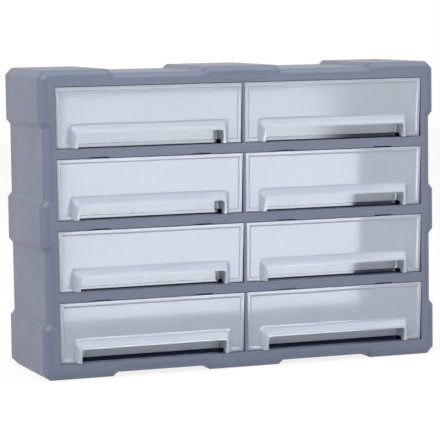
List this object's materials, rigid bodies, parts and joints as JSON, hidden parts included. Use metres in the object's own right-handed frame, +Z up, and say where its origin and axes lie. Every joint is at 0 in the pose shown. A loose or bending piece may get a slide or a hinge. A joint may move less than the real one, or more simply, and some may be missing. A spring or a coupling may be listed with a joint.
{
  "type": "parts bin cabinet",
  "caption": "Stepped grey plastic cabinet with two columns of wide translucent pull-out drawers with hooded full-width handles, for sorting small parts.",
  "frame": {"origin": "on the floor under the middle of the overall box, which runs from the handle lips to the rear edge", "axes": "+X to the right seen from the front, +Y to the back, +Z up; the drawers pull out along -Y"},
  "size_m": [0.52, 0.16, 0.375],
  "materials": {
    "front_frame": "fine-grained moulded blue-grey plastic",
    "outer_case": "fine-grained moulded blue-grey plastic, a little paler",
    "inner_panels": "plain moulded grey plastic",
    "drawers": "glossy milky translucent moulded plastic",
    "screws": "zinc plated"
  },
  "bodies": {
    "cabinet": {"front_frame": "front_frame", "outer_case": "outer_case", "back_panel": "inner_panels", "back_screws": "screws", "base_shelf": "inner_panels", "lower_shelf": "inner_panels", "middle_shelf": "inner_panels", "upper_shelf": "inner_panels", "ceiling_panel": "inner_panels", "left_inner_wall": "inner_panels", "right_inner_wall": "inner_panels", "centre_wall": "inner_panels"},
    "bottom_left_drawer": {"bottom_left_drawer": "drawers"},
    "bottom_right_drawer": {"bottom_right_drawer": "drawers"},
    "lower_left_drawer": {"lower_left_drawer": "drawers"},
    "lower_right_drawer": {"lower_right_drawer": "drawers"},
    "upper_left_drawer": {"upper_left_drawer": "drawers"},
    "upper_right_drawer": {"upper_right_drawer": "drawers"},
    "top_left_drawer": {"top_left_drawer": "drawers"},
    "top_right_drawer": {"top_right_drawer": "drawers"}
  },
  "joints": [
    {"name": "bottom_left_slide", "type": "slide", "parent": "cabinet", "child": "bottom_left_drawer", "axis": [0, -1, 0], "range_m": [0, 0.125]},
    {"name": "bottom_right_slide", "type": "slide", "parent": "cabinet", "child": "bottom_right_drawer", "axis": [0, -1, 0], "range_m": [0, 0.125]},
    {"name": "lower_left_slide", "type": "slide", "parent": "cabinet", "child": "lower_left_drawer", "axis": [0, -1, 0], "range_m": [0, 0.125]},
    {"name": "lower_right_slide", "type": "slide", "parent": "cabinet", "child": "lower_right_drawer", "axis": [0, -1, 0], "range_m": [0, 0.125]},
    {"name": "upper_left_slide", "type": "slide", "parent": "cabinet", "child": "upper_left_drawer", "axis": [0, -1, 0], "range_m": [0, 0.125]},
    {"name": "upper_right_slide", "type": "slide", "parent": "cabinet", "child": "upper_right_drawer", "axis": [0, -1, 0], "range_m": [0, 0.125]},
    {"name": "top_left_slide", "type": "slide", "parent": "cabinet", "child": "top_left_drawer", "axis": [0, -1, 0], "range_m": [0, 0.125]},
    {"name": "top_right_slide", "type": "slide", "parent": "cabinet", "child": "top_right_drawer", "axis": [0, -1, 0], "range_m": [0, 0.125]}
  ]
}
